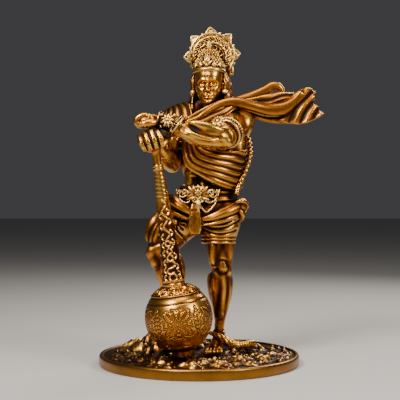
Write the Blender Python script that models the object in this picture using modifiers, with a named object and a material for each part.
# A cast figurine: a crowned, muscular standing figure leaning on a ball-headed mace, on a round rocky plinth.
# Frame: +Z up, -Y towards the viewer, origin at the middle of the plinth's underside.
# Three solids: plinth, figure and mace. Sizes are in millimetres and MM turns them into metres.

import math
import random

import bmesh
import bpy
import numpy as np
from mathutils import Matrix, Vector

MM = 0.001
GAP = 0.3  # clearance between neighbouring solids

# Plinth
PLINTH_RADIUS = 88.8
PLINTH_HEIGHT = 9.5
RIM_ROUND = 1.6
STONE_SEED = 7
MOUND = {"centre": (-28.5, 12.0), "radii": (24.0, 15.0), "turn": 0.66, "top": 31.0}

# Mace: the ball's centre, and the end of the shaft inside the fist
BALL_CENTRE = Vector((-17.5, -28.0, 44.3))
BALL_RADIUS = 29.5
SHAFT_END = Vector((-38.2, -37.0, 196.0))
FOOT_RING = 9.0

# Figure: the joints of the skeleton; left and right are the figure's own
GROUND = PLINTH_HEIGHT + GAP
PELVIS = Vector((7.5, 6.0, 141.0))
WAIST = Vector((8.5, 6.0, 160.0))
CHEST = Vector((12.5, 8.0, 196.0))
NECK = Vector((11.0, 9.0, 226.0))
HEAD = Vector((9.0, 0.0, 246.0))
HEAD_TURN = math.radians(-9)
SHOULDER = {"left": Vector((36.0, 3.0, 215.5)), "right": Vector((-19.0, 5.0, 215.0))}
ELBOW = {"left": Vector((19.5, -34.0, 198.5)), "right": Vector((-24.0, 1.0, 177.0))}
WRIST = {"left": Vector((-33.0, -37.0, 212.5)), "right": Vector((-37.0, -29.0, 193.5))}
HIP = {"left": Vector((21.0, 6.0, 138.0)), "right": Vector((-6.0, 6.0, 137.0))}
KNEE = {"left": Vector((20.5, 2.0, 84.5)), "right": Vector((-35.5, -5.0, 100.0))}
ANKLE = {"left": Vector((18.0, 8.0, 28.0)), "right": Vector((-21.0, 9.0, 47.0))}

# Crown and halo
CROWN_BASE = Vector((8.8, 1.8, 259.0))
CROWN_LEAN = math.radians(-4)
HALO_CENTRE = Vector((11.7, 12.5, 276.2))
HALO_RADIUS = 20.5
HALO_POINTS = 8
HALO_REACH = 26.6
HALO_THICK = 2.6
HALO_ROLL = math.radians(-3.4)

SKIN_VOXEL = 0.85
FIGURE_FACES = 0.0172  # share of the fused skin's faces that is kept

FINISH = {
    "cast_figure": ((0.40, 0.22, 0.055, 1.0), 0.36, 0.7),
    "mace": ((0.42, 0.23, 0.06, 1.0), 0.34, 0.7),
    "plinth": ((0.34, 0.18, 0.05, 1.0), 0.42, 0.7),
}


def clear_scene():
    for old in list(bpy.data.objects):
        bpy.data.objects.remove(old)


def collection(name, hidden=False):
    made = bpy.data.collections.new(name)
    made.hide_render = hidden
    bpy.context.scene.collection.children.link(made)
    return made


def finish(name):
    colour, roughness, metallic = FINISH[name]
    material = bpy.data.materials.new(name)
    material.use_nodes = True
    shader = material.node_tree.nodes["Principled BSDF"]
    shader.inputs["Base Color"].default_value = colour
    shader.inputs["Roughness"].default_value = roughness
    shader.inputs["Metallic"].default_value = metallic
    return material


def between(a, b, share):
    return a.lerp(b, share)


def smooth_path(points, steps=4):
    """Points on a Catmull-Rom curve through the given ones; each point may carry its radius last."""
    rows = [Vector(p) for p in points]
    rows = [rows[0] * 2 - rows[1]] + rows + [rows[-1] * 2 - rows[-2]]
    path = []
    for i in range(1, len(rows) - 2):
        before, start, end, after = rows[i - 1 : i + 3]
        for k in range(steps):
            t = k / steps
            path.append(
                0.5
                * (
                    2 * start
                    + (end - before) * t
                    + (2 * before - 5 * start + 4 * end - after) * t * t
                    + (3 * start - before - 3 * end + after) * t**3
                )
            )
    path.append(rows[-2])
    return path


class Clay:
    """Balls, muscles and tapering rolls pressed together; skin() turns them into one closed surface."""

    def __init__(self):
        self.points = []
        self.faces = []
        self.count = 0
        globe = bmesh.new()
        bmesh.ops.create_uvsphere(globe, u_segments=18, v_segments=10, radius=1.0)
        self.globe = np.array([v.co for v in globe.verts])
        self.globe_faces = [[v.index for v in face.verts] for face in globe.faces]
        globe.free()
        self.rolls = bpy.data.curves.new("rolls", "CURVE")
        self.rolls.dimensions = "3D"
        self.rolls.bevel_depth = 1.0
        self.rolls.bevel_resolution = 3
        self.rolls.use_fill_caps = True

    def add(self, points, faces):
        self.points.append(points)
        self.faces += [[i + self.count for i in face] for face in faces]
        self.count += len(points)

    def ball(self, centre, radii, frame=None):
        """An ellipsoid; frame is a 3x3 matrix whose columns are its own axes."""
        turn = np.array(frame) if frame else np.identity(3)
        self.add((self.globe * radii) @ turn.T + np.array(centre), self.globe_faces)

    def muscle(self, start, end, width, depth=None, face=(0, -1, 0), reach=1.1):
        """A spindle from start to end, width across, and depth towards face."""
        start, end = Vector(start), Vector(end)
        along = end - start
        half = along.length / 2 * reach
        along.normalize()
        out = Vector(face) - along * along.dot(Vector(face))
        out.normalize()
        side = out.cross(along)
        frame = Matrix((side, out, along)).transposed()
        self.ball((start + end) / 2, (width, depth or width, half), frame)

    def roll(self, points, radii, steps=4, ends=True):
        """A round roll through the points, its radius going from one value to the next."""
        if not hasattr(radii, "__len__"):
            radii = [radii] * len(points)
        if len(radii) != len(points):
            radii = [spread(radii, i / (len(points) - 1)) for i in range(len(points))]
        path = smooth_path([(*p, r) for p, r in zip(points, radii)], steps)
        spline = self.rolls.splines.new("POLY")
        spline.points.add(len(path) - 1)
        for knot, row in zip(spline.points, path):
            knot.co = (*row[:3], 1.0)
            knot.radius = row[3]
        if ends:
            self.ball(path[0][:3], path[0][3])
            self.ball(path[-1][:3], path[-1][3])

    def sheet(self, surface, across, along, thick):
        """A cloth of even thickness over surface(u, v), both from 0 to 1."""
        mesh = bmesh.new()
        rows = [
            [mesh.verts.new(surface(i / along, j / across)) for j in range(across + 1)]
            for i in range(along + 1)
        ]
        for near, far in zip(rows, rows[1:]):
            for j in range(across):
                mesh.faces.new((near[j], near[j + 1], far[j + 1], far[j]))
        bmesh.ops.recalc_face_normals(mesh, faces=mesh.faces)
        bmesh.ops.solidify(mesh, geom=mesh.faces[:], thickness=thick)
        mesh.verts.index_update()
        points = np.array([v.co for v in mesh.verts])
        self.add(points, [[v.index for v in face.verts] for face in mesh.faces])
        mesh.free()

    def gather(self, name):
        """One object in metres that holds every lump and roll."""
        rolled = bpy.data.objects.new("rolls", self.rolls)
        bpy.context.scene.collection.objects.link(rolled)
        bpy.context.view_layer.update()
        graph = bpy.context.evaluated_depsgraph_get()
        tubes = bpy.data.meshes.new_from_object(rolled.evaluated_get(graph))
        self.add(np.array([v.co for v in tubes.vertices]), [list(face.vertices) for face in tubes.polygons])
        bpy.data.objects.remove(rolled)
        mesh = bpy.data.meshes.new(name)
        mesh.from_pydata((np.concatenate(self.points) * MM).tolist(), [], self.faces)
        return bpy.data.objects.new(name, mesh)


def spread(values, share):
    """The value at a share of the way along a list, straight between its entries."""
    place = share * (len(values) - 1)
    i = min(int(place), len(values) - 2)
    return values[i] + (values[i + 1] - values[i]) * (place - i)


def add_skin(obj, voxel, smoothing, keep):
    """Fuses an object's overlapping lumps, softens the joins, and thins the faces."""
    fuse = obj.modifiers.new("fuse", "REMESH")
    fuse.mode = "VOXEL"
    fuse.voxel_size = voxel * MM
    soften = obj.modifiers.new("soften", "SMOOTH")
    soften.factor = 0.5
    soften.iterations = smoothing
    thin = obj.modifiers.new("thin", "DECIMATE")
    thin.ratio = keep


# The figure's body


def build_torso(clay):
    clay.ball(PELVIS, (25, 17, 16))
    clay.ball(WAIST, (21, 14, 24))
    clay.ball(CHEST, (27, 18, 31))
    clay.ball(NECK + Vector((1, 0, -9)), (24, 13, 9))
    for side in (-1, 1):
        chest = CHEST + Vector((side * 11.5, -10, 11))
        clay.ball(chest, (14.5, 8, 10.5))
        clay.ball(CHEST + Vector((side * 22, 3, -6)), (9, 13, 27))
        clay.ball(WAIST + Vector((side * 16.5, -2, 3)), (5.5, 9, 14))
        for row in range(4):
            block = Vector((9.6 + side * 5.3, -7.6 - row * 0.5 + (row == 3) * 2, 187.5 - row * 9.2))
            clay.ball(block, (5.6, 4.6, 5.2))
        clay.muscle((11, 11, 237), (11 + side * 25, 9, 221), 7.5, 8)
        clay.muscle((11 + side * 7.5, 5, 240), (11 + side * 3, -5, 222), 3, 3)
        clay.ball((11 + side * 12, 19, 208), (11, 6, 13))
        clay.muscle((11 + side * 7, 21, 226), (11 + side * 24, 18, 212), 6, 4.5, face=(0, 1, 0))
        clay.muscle((11 + side * 22, 17, 204), (8 + side * 7, 20, 172), 9, 5, face=(0, 1, 0))
        clay.muscle((9 + side * 6, 18, 190), (8 + side * 5, 18, 150), 5, 4.5, face=(0, 1, 0))
        clay.ball((7 + side * 10, 16, 134), (12.5, 11, 13.5))
    clay.roll([NECK, between(NECK, HEAD, 0.6)], [9.5, 8.5])


def head_frame():
    return Matrix.Rotation(HEAD_TURN, 3, "Z")


def on_head(x, y, z):
    """A place on the head, whose own axes turn with the face."""
    return HEAD + head_frame() @ Vector((x, y, z))


def build_head(clay):
    frame = head_frame()
    lumps = (
        ((0, 3, 6), (13.2, 15.5, 15.5)),
        ((0, -2.5, -6), (11.2, 11.5, 10.5)),
        ((0, -10, -14.2), (5.2, 4, 3.6)),
        ((0, -11.8, -8.6), (7.0, 4.4, 5.0)),
        ((0, -14.6, -3.0), (2.9, 2.6, 2.2)),
    )
    for centre, radii in lumps:
        clay.ball(on_head(*centre), radii, frame)
    for side in (-1, 1):
        clay.ball(on_head(side * 7.8, -9.2, -2.4), (4.2, 3.6, 3.4), frame)
        clay.ball(on_head(side * 5.0, -10.9, 1.2), (2.9, 2.2, 1.8), frame)
        brow = [on_head(side * x, y, z) for x, y, z in ((1.2, -13.2, 4.0), (5, -13.2, 5.6), (9.4, -9.8, 4.6))]
        clay.roll(brow, [1.3, 1.7, 1.3])
        clay.ball(on_head(side * 13.0, 1.5, -1.0), (2.0, 3.4, 5.0), frame)
        lip = [on_head(side * x, y, z) for x, y, z in ((0, -16.0, -8.9), (3.2, -15.0, -9.2), (5.4, -12.6, -9.4))]
        clay.roll(lip, [1.2, 1.1, 0.7])
        lip = [on_head(side * x, y, z) for x, y, z in ((0, -15.4, -11.0), (2.8, -14.6, -11.0), (4.8, -12.8, -10.2))]
        clay.roll(lip, [1.3, 1.2, 0.7])
    clay.roll([on_head(0, -12.6, 4.4), on_head(0, -14.8, -2.0)], [1.4, 2.0])


def build_hair(clay):
    """Long locks fall behind the ears to the shoulders, and a mane down the back."""
    for side in (-1, 1):
        for lock in range(5):
            out = 13.0 + lock * 0.5
            back = 3.0 + lock * 4.2
            top = on_head(side * (out - 1.0), back, 10)
            middle = on_head(side * (out + 0.4), back + 3, -8)
            low = on_head(side * (out - 1.5 + (lock < 2) * 1.5), back + 5, -24 - lock * 1.2)
            clay.roll([top, middle, low], [2.4, 3.0, 2.2])
    for lock in range(7):
        share = lock / 6 - 0.5
        top = on_head(share * 24, 15 - abs(share) * 8, 8)
        middle = on_head(share * 27, 19 - abs(share) * 6, -12)
        low = on_head(share * 30, 23 - abs(share) * 5, -36 + abs(share) * 10)
        clay.roll([top, middle, low], [3.4, 3.6, 2.2])


def build_left_arm(clay):
    """The left upper arm comes forward from a round shoulder; its forearm lies across the chest."""
    shoulder, elbow, wrist = SHOULDER["left"], ELBOW["left"], WRIST["left"]
    clay.ball(shoulder, (13.2, 13, 14.5))
    clay.ball(shoulder + Vector((-8, -6, 1)), (9, 9, 12))
    clay.roll([shoulder, between(shoulder, elbow, 0.5), elbow], [12.5, 11.4, 8.6])
    clay.muscle(shoulder + Vector((0, -8, 4)), elbow + Vector((0, 4, 5)), 9, 7.5, face=(0, 0, 1))
    clay.muscle(shoulder + Vector((4, -8, -6)), elbow + Vector((3, 3, -2)), 8, 7, face=(0.5, 0, -1))
    middle = [elbow, Vector((5, -38, 199)), Vector((-6, -39, 201.5)), Vector((-16, -39, 206.5)), wrist]
    clay.roll(middle, [7.6, 8.6, 8.6, 7.4, 5.6])
    clay.muscle((-15, -42, 212.5), (16, -40, 200.5), 5.4, 6, face=(0, -1, 0.2))
    clay.muscle((-21, -43, 204.5), (8, -43.5, 195), 4.8, 5.5, face=(0, -1, -0.2))
    clay.muscle((-18, -38, 201), (20, -36, 193.5), 5, 6, face=(0, 0, -1))


def build_right_arm(clay):
    """The right upper arm hangs beside the ribs and its forearm rises to the fist on the mace."""
    shoulder, elbow, wrist = SHOULDER["right"], ELBOW["right"], WRIST["right"]
    clay.ball(shoulder, (12.5, 12.5, 13.5))
    clay.roll([shoulder, between(shoulder, elbow, 0.5) + Vector((-1, 1, 0)), elbow], [11.5, 10.0, 7.5])
    clay.muscle(shoulder + Vector((-1, -5, -4)), elbow + Vector((-1, -5, 6)), 7, 7)
    clay.muscle(shoulder + Vector((0, 6, -2)), elbow + Vector((0, 4, 4)), 7.5, 7, face=(0, 1, 0))
    clay.roll([elbow, between(elbow, wrist, 0.4) + Vector((0, 0, -1)), wrist], [7.4, 8.4, 5.4])
    clay.muscle(elbow + Vector((0, -4, 3)), between(elbow, wrist, 0.8) + Vector((2, 0, 2)), 6, 6)


def build_hands(clay):
    """The right fist grips the end of the shaft and the left hand rests on top of it."""
    clay.ball((-40.5, -37.5, 197), (9.5, 7.5, 8.0))
    clay.roll([WRIST["right"], Vector((-39, -33, 198))], [6.0, 7.0])
    for finger in range(4):
        across = -34.2 - finger * 4.6
        high = 204.8 - (0.6, 0.0, 1.6, 4.6)[finger]
        low = 189.6 - (0.0, 0.9, 0.2, -1.0)[finger]
        lean = 1.6 - 0.25 * finger
        clay.roll(
            [
                Vector((across - 1.2, -38, high - 0.5)),
                Vector((across - 0.6, -44.0, high - 1.2)),
                Vector((across + 0.6, -46.8, (high + low) / 2)),
                Vector((across + lean, -45.0, low + 2.4)),
                Vector((across + lean + 0.6, -40.5, low + 0.6)),
            ],
            [2.6, 2.7, 2.5, 2.4, 2.1],
        )
    clay.roll([Vector((-31, -33, 198)), Vector((-28.6, -38, 196.5)), Vector((-29.2, -42, 194.6))], [3.0, 2.7, 2.1])
    clay.roll([WRIST["left"], Vector((-41, -37, 213))], [6.0, 6.8])
    clay.ball((-45.5, -36.5, 212.6), (9.2, 9.6, 6.4))
    for finger in range(4):
        depth = -44.6 + finger * 4.9
        clay.roll(
            [
                Vector((-46.0, depth, 216.2)),
                Vector((-52.2, depth, 215.4)),
                Vector((-53.2, depth, 210.2)),
                Vector((-48.8, depth, 207.8)),
            ],
            [2.9, 2.9, 2.7, 2.5],
        )
    clay.roll([Vector((-37.0, -43, 213.0)), Vector((-42, -46.4, 211.8)), Vector((-47.0, -47.0, 210.4))], [3.8, 3.2, 2.4])


def build_left_leg(clay):
    """The straight leg: quadriceps, kneecap, split calf and a bare foot."""
    hip, knee, ankle = HIP["left"], KNEE["left"], ANKLE["left"]
    clay.roll([hip, between(hip, knee, 0.5) + Vector((-2, 0, 0)), knee], [15.5, 13.5, 8.6])
    clay.muscle((12.0, -4, 118), (12.4, -4, 86), 6.6, 6.6, face=(-0.4, -1, 0))
    clay.muscle((25.5, -3, 120), (25.6, -3, 87), 6.6, 6.6, face=(0.5, -1, 0))
    clay.muscle((19, -7, 122), (19.5, -6, 90), 5.5, 4.5)
    clay.muscle((18, 12, 122), (19, 10, 84), 9.5, 7, face=(0, 1, 0))
    clay.ball(knee + Vector((0.6, -6.5, 1.0)), (5.0, 3.6, 5.4))
    clay.muscle(knee + Vector((0.6, -6.0, -3)), knee + Vector((0.2, -5.2, -16)), 3.4, 3.0)
    clay.roll([knee, Vector((19.5, 5, 68)), Vector((19.4, 7, 46)), ankle], [8.2, 8.6, 5.6, 4.2])
    clay.muscle((10.6, 7, 80), (14.2, 8, 50), 5.6, 7.5, face=(0, 1, 0))
    clay.muscle((27.4, 7, 80), (22.6, 8, 48), 4.8, 7.5, face=(0, 1, 0))
    clay.muscle((22.2, -1, 79), (19.6, 2, 40), 4.2, 4.4)
    clay.muscle((15.2, 0, 79), (17.4, 2, 46), 3.6, 3.8)
    clay.muscle((18.5, 12, 40), (18, 14.5, 16), 2.6, 3)
    build_foot(clay, ankle, Vector((18.2, 15.5, GROUND + 5.5)), Vector((13.8, -9, GROUND + 3.6)), 6.4)


def build_foot(clay, ankle, heel, sole, half_width):
    """A bare foot with five toes; half_width is negative where the big toe is on the other side."""
    ahead = (sole - heel).normalized()
    ahead.z = 0
    ahead.normalize()
    side = Vector((-ahead.y, ahead.x, 0))
    clay.roll([heel, ankle + Vector((0, 1, -4)), ankle], [5.6, 5.4, 4.6])
    clay.roll([ankle + Vector((0, 1, -5)), between(heel, sole, 0.55) + Vector((0, 0, 4.0)), sole], [5.4, 5.2, 3.8])
    clay.roll([heel + Vector((0, 0, -1.5)), sole], [5.0, 3.6])
    for toe in range(5):
        offset = (toe / 2 - 1) * half_width
        root = sole - ahead * 2 + side * offset * 0.8 + Vector((0, 0, 0.6))
        tip = sole + ahead * (10.0 - toe * 1.3) + side * offset + Vector((0, 0, -1.2))
        thick = 2.0 if toe else 2.7
        clay.roll([root, between(root, tip, 0.6) + Vector((0, 0, 1.2)), tip], [thick + 0.4, thick, thick * 0.85])


def build_right_leg(clay):
    """The bent leg: the thigh goes out to the side, and the foot stands on a rock behind the mace's ball."""
    hip, knee, ankle = HIP["right"], KNEE["right"], ANKLE["right"]
    clay.roll([hip, between(hip, knee, 0.5), knee], [16.0, 15.0, 10.0])
    clay.muscle((-33, -8, 128), (-43.2, -9, 102), 6.2, 6.5, face=(-0.6, -1, 0))
    clay.muscle((-38.5, -1, 128), (-45.0, -2, 104), 5.2, 6.5, face=(-1, 0, 0))
    clay.muscle((-22, -10, 120), (-33, -11, 98), 6.5, 5.5)
    clay.ball(knee + Vector((-6.4, -3.4, -1.0)), (5.8, 6.0, 8.0))
    clay.roll([knee, Vector((-29.5, 1, 82)), Vector((-24, 7, 62)), ankle], [9.8, 9.0, 6.4, 4.6])
    clay.muscle((-21.5, 0, 98), (-18.5, 5, 66), 7.2, 8, face=(1, 0, 0))
    clay.muscle((-30, 8, 96), (-24, 12, 62), 7, 7, face=(0, 1, 0))
    clay.muscle((-36.5, -6, 92), (-26, 1, 60), 4.4, 4.4, face=(-1, -1, 0))
    sole_height = MOUND["top"] + GAP
    build_foot(clay, ankle, Vector((-20, 18.5, sole_height + 5.5)), Vector((-36.5, 5.0, sole_height + 3.6)), -6.0)


# Cloth and ornaments on the figure


def ring_round(centre, radii, turns):
    """Points round an upright ellipse; turns lists angles in degrees, 0 at +X and 270 towards the viewer."""
    return [
        Vector((centre.x + radii[0] * math.cos(math.radians(a)), centre.y + radii[1] * math.sin(math.radians(a)), centre.z))
        for a in turns
    ]


def build_sash(clay):
    """Folds cross the belly from under the forearm, fan out towards the left flank, and go round the back."""
    folds = 6
    for fold in range(folds):
        share = fold / (folds - 1)
        start = Vector((-9.5 + 15 * (1 - share), -13.5 - 3 * share, 194.0 - 12 * share))
        middle = Vector((14.0 - 3 * share, -15.5 + 1.0 * share, 187.0 - 17 * share))
        flank = Vector((37.5 - 5 * share, -6.0, 185.0 - 25 * share))
        back = Vector((33.0 - 4 * share, 20.0 - 2 * share, 190.0 - 22 * share))
        spine = Vector((8.0, 27.0 - 3 * share, 200.0 - 16 * share))
        clay.roll([start, middle, flank, back, spine], [2.0, 2.9, 2.7, 2.6, 2.2], steps=5)
    for fold in range(4):
        share = fold / 3
        low = Vector((-8.0 + 7 * share, -20.0, 214.0 - 3.0 * share))
        high = Vector((9.0 + 5 * share, -14.5, 224.5 - 2.5 * share))
        over = Vector((26.0 + 2 * share, -6.0, 232.5 - 4.0 * share))
        clay.roll([low, high, over], [2.2, 2.8, 3.0])


def build_shoulder_cloth(clay):
    """The scarf lies in pleats over the right shoulder and goes round behind the neck."""
    for pleat in range(6):
        share = pleat / 5
        front = Vector((-29.0 + 18 * share, -11.0 - 5 * share, 210.0 - 1.5 * share))
        top = Vector((-26.5 + 18.0 * share, 2.0 - 3 * share, 222.0 + 9.5 * share - 3.0 * share * share))
        back = Vector((-22.0 + 15 * share, 17.0, 216.0 + 7 * share))
        clay.roll([front, top, back], [2.4, 2.9, 2.6])
    for strand in range(3):
        clay.roll(
            [
                Vector((-14, 16, 224 + strand * 3)),
                Vector((10, 22, 229 + strand * 3)),
                Vector((31, 13, 230 + strand * 2.5)),
                Vector((44, 6, 229 + strand * 3)),
            ],
            [3.2, 3.6, 3.6, 3.2],
        )


SCARF_MIDDLE = [(24, -8, 231), (45, -3, 226.5), (58, 0, 224.5), (71, 3, 223.5), (84, 4, 225.5), (99, 3, 229.5), (110, 1, 231)]
SCARF_WIDTH = [11, 19, 20, 22, 24.5, 28.5, 24]


def scarf_line(u):
    """The middle of the flying scarf, from the left shoulder to its end."""
    path = smooth_path(SCARF_MIDDLE, 6)
    return Vector(spread(path, u))


def flying_scarf(u, v):
    """The scarf opens from a gathered rope into a cloth whose folds grow towards its free end."""
    across = v - 0.5
    fold = (1.6 + 3.6 * u) * math.sin(2 * math.pi * (2.2 * v + 0.5 * u))
    lift = across * spread(SCARF_WIDTH, u) + 1.2 * u * math.sin(9.0 * u + 5.0 * v)
    along = 3.2 * u**4 * math.sin(13.0 * v)
    return scarf_line(u) + Vector((along, fold + 4.0 * across * u, lift))


def build_scarf(clay):
    clay.sheet(flying_scarf, across=22, along=34, thick=2.6)
    front = [Vector((-9, -19.5, 217)), Vector((8, -16.5, 224.5)), Vector((22, -12.0, 231.5)), Vector((34, -9.5, 233.0))]
    front += [scarf_line(u) + Vector((0, -4.0, 1.0 - 2 * u)) for u in (0.3, 0.5, 0.72)]
    clay.roll(front, [2.4, 3.4, 4.0, 4.4, 5.2, 5.0, 3.2])
    behind = [Vector((20, 16, 231)), Vector((38, 12, 236)), Vector((54, 12, 239)), Vector((66, 13, 247.5)), Vector((73, 13, 248.5)), Vector((78, 12, 243))]
    clay.roll(behind, [4.2, 4.4, 4.0, 3.4, 3.0, 2.4])
    clay.roll([Vector((50, 12, 233)), Vector((66, 13, 237)), Vector((84, 11, 238))], [3.6, 3.2, 2.4])


def build_shorts(clay):
    """Short draped trousers: a wide leg each, hems, and folds that fan out from the front tie."""
    clay.ball(PELVIS + Vector((0.5, 0, 0)), (30, 19.5, 15))
    left = [HIP["left"] + Vector((0, 0, 4)), Vector((19.0, 4, 124)), Vector((17.4, 3, 108.5))]
    clay.roll(left, [18.6, 17.8, 15.8], ends=False)
    right = [HIP["right"] + Vector((0, 0, 2)), Vector((-15, 3, 128)), Vector((-26.5, -1, 117.5))]
    clay.roll(right, [18.6, 19.0, 17.8], ends=False)
    for step in range(2):
        hem = ring_round(Vector((17.3, 3, 108.6 + 5.0 * step)), (16.2, 16.2), range(0, 361, 30))
        clay.roll(hem, 1.3, ends=False)
    down = (KNEE["right"] - HIP["right"]).normalized()
    tilt = down.to_track_quat("Z", "Y")
    hem = [Vector((-26.5, -1, 117.5)) + tilt @ Vector((18.0 * math.cos(a), 18.0 * math.sin(a), 0)) for a in [i * math.pi / 6 for i in range(13)]]
    clay.roll(hem, 1.4, ends=False)
    for fold in range(5):
        share = fold / 4
        start = Vector((4.0 + 2 * share, -15.5, 131.0 - 10 * share))
        middle = Vector((20.0, -17.5 + 2.5 * share, 138.0 - 19 * share))
        end = Vector((37.5 - 3.5 * share, -3.0, 143.0 - 22 * share))
        clay.roll([start, middle, end], [1.6, 2.4, 2.0])
    for fold in range(4):
        share = fold / 3
        start = Vector((-1.0, -14.5, 140.0 - 12 * share))
        middle = Vector((-14.0 + 4 * share, -16.5, 139.0 - 17 * share))
        end = Vector((-29.0 + 12 * share, -14.0, 136.0 - 19 * share))
        clay.roll([start, middle, end], [1.5, 2.3, 1.8])


def build_waist(clay):
    """Wound cloth round the waist, a looped swag on the left hip, hanging ends and bead strings."""
    for turn in range(4):
        height = 146.5 + turn * 3.8
        ring = ring_round(Vector((8.5, 5.5, height)), (26.0 - turn * 0.7, 17.0), range(0, 361, 24))
        clay.roll(ring, 2.3, ends=False)
    swag = [Vector((3, -18, 128)), Vector((16, -19, 133)), Vector((29, -14, 139.5)), Vector((38.5, -4, 141.5)), Vector((38, 8, 139)), Vector((20, 22, 137)), Vector((0, 22, 137))]
    clay.roll(swag, [1.8, 2.6, 3.2, 3.2, 2.8, 2.6, 2.4])
    loop = [Vector((33, -12, 139.5)), Vector((37.5, -11, 146)), Vector((40.5, -7, 143.5)), Vector((39.5, -6, 136))]
    clay.roll(loop, [2.2, 1.8, 1.8, 2.2])
    for end, side in ((Vector((-22.5, -10, 148)), -1), (Vector((-29.0, -12, 138)), -1)):
        clay.roll([Vector((-2, -17, 133)), Vector((-13, -18.5, 137.5)), end], [1.8, 2.4, 2.4])
    clay.ball((-22.5, -17.0, 129.0), (4.2, 3.4, 4.2))
    apron = [Vector((-1.5, -19.5, 141)), Vector((-2.5, -20.5, 131)), Vector((-2.6, -19.5, 119.5))]
    for offset in (-3.4, 0, 3.4):
        clay.roll([p + Vector((offset, abs(offset) * 0.25, 0)) for p in apron], [2.3, 2.4, 2.1])
    clasp = Vector((-1.0, -19.5, 150.5))
    clay.ball(clasp, (7.0, 3.0, 5.0))
    for side in (-1, 1):
        for leaf in range(4):
            lift = math.radians(-25 + 28 * leaf)
            tip = clasp + Vector((side * 12.0 * math.cos(lift), 2.5, 8.0 * math.sin(lift) + 2))
            clay.roll([clasp, tip], [2.6, 1.5])
        clay.ball(clasp + Vector((side * 3.6, -2, -3.6)), (3.2, 1.8, 3.2))
        for string in range(2):
            reach = 12 + 6 * string
            drop = 10 + 9 * string
            top = Vector((clasp.x + side * (reach + 6), -16.5 + string, 155))
            low = Vector((clasp.x + side * reach * 0.7, -19.5, 151 - drop))
            clay.roll([top, low, clasp + Vector((side * 3, 1, -5 - string))], 1.4)
    clay.roll([clasp + Vector((0, -1, -5)), clasp + Vector((0, -0.5, -12))], [3.0, 1.4])


def build_flank_rope(clay):
    """A twisted cord from the armpit down the left flank, and its knotted end at the waist."""
    line = smooth_path([(40.5, 13, 214), (44.5, 8, 196), (43.0, 3, 181), (37.5, -3, 168), (32.5, -8, 157.5)], steps=5)
    for i, p in enumerate(line):
        clay.ball(p, (2.8, 2.6, 3.0) if i % 2 else (2.3, 2.3, 3.0))


def cuff(clay, start, end, radii):
    """A flared cuff between two places on an arm, with a rolled edge at each end."""
    along = (end - start).normalized()
    turn = along.to_track_quat("Z", "Y")
    clay.roll([start, between(start, end, 0.5), end], [radii[0], min(radii) + 0.4, radii[1]], ends=False)
    for centre, radius in ((start, radii[0]), (end, radii[1])):
        ring = [centre + turn @ Vector((radius * math.cos(a), radius * math.sin(a), 0)) for a in [i * math.pi / 6 for i in range(13)]]
        clay.roll(ring, 1.3, ends=False)


def rosette(clay, centre, out, radius, petals):
    """A flower boss: a middle ball and a ring of petals square to out."""
    turn = Vector(out).to_track_quat("Z", "Y")
    clay.ball(centre, radius * 0.36)
    for petal in range(petals):
        a = 2 * math.pi * petal / petals
        tip = centre + turn @ Vector((radius * math.cos(a), radius * math.sin(a), -radius * 0.15))
        clay.roll([centre, tip], [radius * 0.2, radius * 0.12])


def build_armour(clay):
    """The left forearm's bracer and armlet, and the armlet on the right arm."""
    cuff(clay, Vector((-34.5, -37.5, 212.8)), Vector((-17.0, -39.5, 207.0)), (7.6, 9.4))
    rosette(clay, Vector((-26.0, -47.5, 211.0)), (0, -1, 0.2), 6.0, 8)
    middle = between(SHOULDER["left"], ELBOW["left"], 0.5)
    along = (ELBOW["left"] - SHOULDER["left"]).normalized()
    cuff(clay, middle - along * 3.5, middle + along * 3.5, (12.6, 12.2))
    rosette(clay, middle + Vector((-8.5, -7, 8.5)), (-0.6, -0.8, 0.8), 6.5, 9)
    middle = between(SHOULDER["right"], ELBOW["right"], 0.55)
    along = (ELBOW["right"] - SHOULDER["right"]).normalized()
    cuff(clay, middle - along * 3, middle + along * 3, (10.6, 10.2))


def build_jewels(clay):
    """Earrings: a ball and a drop on each side of the face, hung from the ear."""
    for side in (-1, 1):
        ear = on_head(side * 14.2, -1.5, -3.5)
        clay.ball(ear, 2.9)
        clay.roll([ear, ear + Vector((side * 0.5, -1.5, -12))], [1.3, 1.1])
        clay.roll([ear + Vector((side * 0.6, -1.6, -10)), ear + Vector((side * 0.8, -1.8, -16))], [1.2, 2.5])
        clay.ball(on_head(side * 13.6, 0, 8.5), 2.0)


def build_tail(clay):
    """The tail falls behind the left leg, bends on the ground and ends in a tuft round the left ankle."""
    line = [Vector((9, 21, 136)), Vector((15, 31, 120)), Vector((20, 33, 92)), Vector((20, 30, 62)), Vector((18, 27, 36))]
    line += [Vector((20, 28, 18)), Vector((30, 27, 14.2)), Vector((42, 22, 14.2)), Vector((48, 13, 15.5)), Vector((43, 3, 16.5))]
    line += [Vector((34, -3, 16.0))]
    clay.roll(line, [4.8, 4.4, 4.0, 3.8, 3.8, 3.8, 3.8, 3.8, 3.8, 3.6, 3.4])
    tuft = smooth_path([(33, -4, 15.8), (26, -4.5, 19.5), (18, -1.5, 24), (9.5, 3, 26.5)], steps=3)
    for i, p in enumerate(tuft):
        clay.ball(p, (3.5 - 0.18 * i, 3.0 - 0.12 * i, 3.0 - 0.18 * i))


def build_crown_relief(clay):
    """The crown's front leaves, standing on the brim."""
    for leaf in range(5):
        a = (leaf - 2) * math.radians(32) + HEAD_TURN
        out = Vector((math.sin(a), -math.cos(a), 0))
        foot = CROWN_BASE + out * 14.0 + Vector((0, 0, 2))
        tip = CROWN_BASE + out * 13.4 + Vector((0, 0, 11 if leaf == 2 else 8))
        clay.roll([foot, tip], [2.3, 0.9])


# Crisp pieces of the figure, joined to the skin by a union


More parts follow.
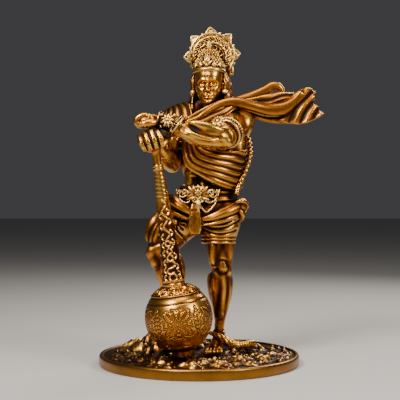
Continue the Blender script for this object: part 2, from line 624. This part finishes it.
def turned(name, profile, steps, group, place):
    """A solid of revolution: profile lists (radius, height) from the top down its outer side."""
    mesh = bpy.data.meshes.new(name)
    points = [(r * MM, 0, z * MM) for r, z in profile]
    mesh.from_pydata(points, [(i, i + 1) for i in range(len(points) - 1)], [])
    made = bpy.data.objects.new(name, mesh)
    group.objects.link(made)
    screw = made.modifiers.new("turn", "SCREW")
    screw.steps = screw.render_steps = steps
    screw.use_merge_vertices = True
    screw.use_smooth_shade = False
    screw.merge_threshold = 1e-5
    made.matrix_world = place
    return made


def axis_place(base, axis):
    """A place whose +Z runs along axis."""
    return Matrix.Translation(base * MM) @ axis.to_track_quat("Z", "Y").to_matrix().to_4x4()


def crown_profile():
    top = [(0, 29.0), (1.6, 27.6), (3.8, 25.2), (6.2, 21.2), (7.8, 20.4)]
    tiers = [(8.2, 18.6), (10.0, 17.4), (10.8, 15.4), (13.2, 9.0), (13.2, 3.2)]
    brim = [(15.4, 2.0), (15.4, 0.0), (12.0, -1.8), (0, -2.0)]
    return top + tiers + brim


def halo_outline():
    """The halo's edge: a circle that rises to a point at each of its tips."""
    outline = []
    steps = HALO_POINTS * 4
    for i in range(steps):
        a = 2 * math.pi * i / steps
        nearest = abs((a * HALO_POINTS / (2 * math.pi) + 0.5) % 1.0 - 0.5) * 2
        rise = max(0.0, 1.0 - nearest / 0.62)
        radius = HALO_RADIUS + (HALO_REACH - HALO_RADIUS) * rise
        outline.append((radius * math.sin(a), radius * math.cos(a)))
    return outline


def flat_spline(curve, points):
    spline = curve.splines.new("POLY")
    spline.points.add(len(points) - 1)
    for knot, (x, y) in zip(spline.points, points):
        knot.co = (x * MM, y * MM, 0, 1)
    spline.use_cyclic_u = True


def as_mesh(obj, group):
    """Replaces a curve object by its mesh, with the caps welded."""
    bpy.context.view_layer.update()
    graph = bpy.context.evaluated_depsgraph_get()
    mesh = bpy.data.meshes.new_from_object(obj.evaluated_get(graph))
    body = bmesh.new()
    body.from_mesh(mesh)
    bmesh.ops.remove_doubles(body, verts=body.verts, dist=1e-6)
    bmesh.ops.recalc_face_normals(body, faces=body.faces)
    body.to_mesh(mesh)
    body.free()
    made = bpy.data.objects.new(obj.name, mesh)
    made.matrix_world = obj.matrix_world.copy()
    bpy.data.objects.remove(obj)
    group.objects.link(made)
    return made


def build_halo(group):
    """A thin disc with pointed, pierced tips, and a raised ring near its edge."""
    curve = bpy.data.curves.new("halo_disc", "CURVE")
    curve.dimensions = "2D"
    curve.fill_mode = "BOTH"
    curve.extrude = HALO_THICK / 2 * MM
    flat_spline(curve, halo_outline())
    for tip in range(HALO_POINTS):
        a = 2 * math.pi * tip / HALO_POINTS
        centre = (HALO_REACH - 3.4) * math.sin(a), (HALO_REACH - 3.4) * math.cos(a)
        hole = [(centre[0] + 0.9 * math.cos(t), centre[1] + 0.9 * math.sin(t)) for t in [k * math.pi / 3 for k in range(6)]]
        flat_spline(curve, hole)
    disc = bpy.data.objects.new("halo_disc", curve)
    bpy.context.scene.collection.objects.link(disc)
    stand = Matrix.Rotation(HALO_ROLL, 4, "Y") @ Matrix.Rotation(math.radians(90), 4, "X")
    disc.matrix_world = Matrix.Translation(HALO_CENTRE * MM) @ stand
    as_mesh(disc, group)
    profile = [(HALO_RADIUS - 3.1, -0.5), (HALO_RADIUS - 1.9, 1.4), (HALO_RADIUS - 0.7, -0.5), (HALO_RADIUS - 3.1, -0.5)]
    front = HALO_CENTRE + Vector((0, -HALO_THICK / 2 + 0.2, 0))
    turned("halo_ring", profile, 32, group, Matrix.Translation(front * MM) @ stand)


def mace_profile(grow=0.0):
    """The mace from the end of its grip down to the foot; heights are from the ball's centre along the shaft."""
    reach = (SHAFT_END - BALL_CENTRE).length
    shaft = [
        (0.0, reach + grow),
        (3.6 + grow, reach + grow),
        (5.0 + grow, reach - 2.5),
        (5.0 + grow, reach - 8),
        (3.5 + grow, reach - 12),
        (3.6 + grow, 135.5),
        (5.0 + grow, 135.0),
        (5.0 + grow, 132.6),
        (4.2 + grow, 132.0),
        (5.0 + grow, 127.0),
        (5.6 + grow, 105.0),
        (6.4 + grow, 80.0),
        (7.6 + grow, 54.0),
        (9.0 + grow, 29.5),
    ]
    lid = [(12.0, 29.0 + grow), (17.5 + grow, 26.0), (21.6 + grow, 22.0), (22.6 + grow, 20.9)]
    angles = [40, 28, 15, 3, -9, -21, -33, -43]
    radius = BALL_RADIUS + grow
    ball = [(radius * math.cos(math.radians(a)), radius * math.sin(math.radians(a))) for a in angles]
    foot = [(14.0, -26.0), (FOOT_RING, -28.2), (FOOT_RING, -38.0), (0.0, -38.0)]
    return shaft + lid + ball + foot


def ball_room_profile():
    """The ball alone, grown by the gap, to clear the rock beside it."""
    radius = BALL_RADIUS + GAP
    angles = [90 - 15 * i for i in range(13)]
    return [(radius * math.cos(math.radians(a)), radius * math.sin(math.radians(a))) for a in angles]


def cutter(name, low, high, group):
    """A box between two corners, in millimetres, for a boolean cut."""
    body = bmesh.new()
    bmesh.ops.create_cube(body, size=1.0)
    low, high = Vector(low), Vector(high)
    bmesh.ops.scale(body, vec=(high - low) * MM, verts=body.verts)
    bmesh.ops.translate(body, vec=(high + low) / 2 * MM, verts=body.verts)
    mesh = bpy.data.meshes.new(name)
    body.to_mesh(mesh)
    body.free()
    made = bpy.data.objects.new(name, mesh)
    made.hide_render = True
    made.display_type = "WIRE"
    group.objects.link(made)
    return made


def add_boolean(obj, operation, other):
    step = obj.modifiers.new(operation.lower(), "BOOLEAN")
    step.operation = operation
    step.solver = "EXACT"
    if isinstance(other, bpy.types.Collection):
        step.operand_type = "COLLECTION"
        step.collection = other
    else:
        step.object = other
    return step


def build_figure(group, crisp, cutters):
    clay = Clay()
    for build in (
        build_torso,
        build_head,
        build_hair,
        build_left_arm,
        build_right_arm,
        build_hands,
        build_left_leg,
        build_right_leg,
        build_sash,
        build_shoulder_cloth,
        build_scarf,
        build_shorts,
        build_waist,
        build_flank_rope,
        build_armour,
        build_jewels,
        build_tail,
        build_crown_relief,
    ):
        build(clay)
    figure = clay.gather("figure")
    figure.data.materials.append(finish("cast_figure"))
    group.objects.link(figure)
    add_skin(figure, SKIN_VOXEL, 4, FIGURE_FACES)
    crown_axis = Vector((0, -math.sin(CROWN_LEAN), math.cos(CROWN_LEAN)))
    turned("crown", crown_profile(), 16, crisp, axis_place(CROWN_BASE, crown_axis))
    build_halo(crisp)
    add_boolean(figure, "UNION", crisp)
    room = turned("mace_room", mace_profile(GAP), 18, cutters, mace_place())
    floor = cutter("floor", (-120, -120, -40), (120, 120, GROUND), cutters)
    rock = cutter("rock_room", (-60, -20, -40), (2, 60, MOUND["top"] + GAP), cutters)
    for tool in (room, floor, rock):
        tool.hide_render = True
        tool.display_type = "WIRE"
        add_boolean(figure, "DIFFERENCE", tool)
    return figure


def mace_place():
    return axis_place(BALL_CENTRE, SHAFT_END - BALL_CENTRE)


def build_mace(group, cutters):
    mace = turned("mace", mace_profile(), 22, group, mace_place())
    mace.data.materials.append(finish("mace"))
    floor = cutter("mace_floor", (-120, -120, -40), (120, 120, GROUND), cutters)
    add_boolean(mace, "DIFFERENCE", floor)
    return mace


# The plinth


def stone(radii, place, turn, detail=1):
    """A low faceted stone."""
    body = bmesh.new()
    bmesh.ops.create_icosphere(body, subdivisions=detail, radius=1.0)
    for vertex in body.verts:
        vertex.co *= 1.0 + random.uniform(-0.16, 0.16)
    spin = Matrix.Rotation(turn, 4, "Z") @ Matrix.Diagonal((*radii, 1.0))
    bmesh.ops.transform(body, matrix=Matrix.Scale(MM, 4) @ Matrix.Translation(place) @ spin, verts=body.verts)
    mesh = bpy.data.meshes.new("stone")
    body.to_mesh(mesh)
    body.free()
    return bpy.data.objects.new("stone", mesh)


def build_plinth(group, stones, cutters):
    random.seed(STONE_SEED)
    h, r = PLINTH_HEIGHT, PLINTH_RADIUS
    profile = [(0, h), (r - RIM_ROUND, h), (r, h - RIM_ROUND), (r, 1.2), (r - 1.0, 0), (0, 0)]
    plinth = turned("plinth", profile, 48, group, Matrix.Identity(4))
    plinth.data.materials.append(finish("plinth"))
    top = MOUND["top"]
    x, y = MOUND["centre"]
    heap = [
        ((*MOUND["radii"], top - h + 9), (x, y, h - 1), MOUND["turn"]),
        ((15, 11, 14), (x - 14, y + 10, h), 0.8),
        ((12, 10, 14), (x + 13, y + 8, h), 1.7),
        ((10, 8, 9), (x - 21, y - 4, h - 1), 0.2),
        ((13, 7, 9), (-56, 30, h - 1), -0.7),
        ((9, 6, 6), (-44, 20, h - 1), 0.4),
    ]
    for radii, place, turn in heap:
        stones.objects.link(stone(radii, Vector(place), turn))
    count = 15
    for i in range(count):
        a = 2 * math.pi * (i + random.uniform(-0.25, 0.25)) / count
        reach = random.uniform(62, 76)
        size = random.uniform(5.5, 9.5)
        place = Vector((reach * math.cos(a), reach * math.sin(a), h - 1.5))
        stones.objects.link(stone((size, size * 0.6, random.uniform(3.6, 5.6)), place, a + random.uniform(0.6, 2.4)))
    add_boolean(plinth, "UNION", stones)
    ledge = cutter("ledge", (-60, -30, top), (20, 60, top + 40), cutters)
    below = cutter("below_plinth", (-120, -120, -60), (120, 120, 0), cutters)
    bowl = turned("ball_room", ball_room_profile(), 22, cutters, mace_place())
    for tool in (ledge, below, bowl):
        tool.hide_render = True
        tool.display_type = "WIRE"
        add_boolean(plinth, "DIFFERENCE", tool)
    return plinth


def main():
    clear_scene()
    group = collection("hanuman_figurine")
    crisp = collection("crisp_pieces", hidden=True)
    stones = collection("stones", hidden=True)
    cutters = collection("cutters", hidden=True)
    build_plinth(group, stones, cutters)
    build_mace(group, cutters)
    build_figure(group, crisp, cutters)


main()
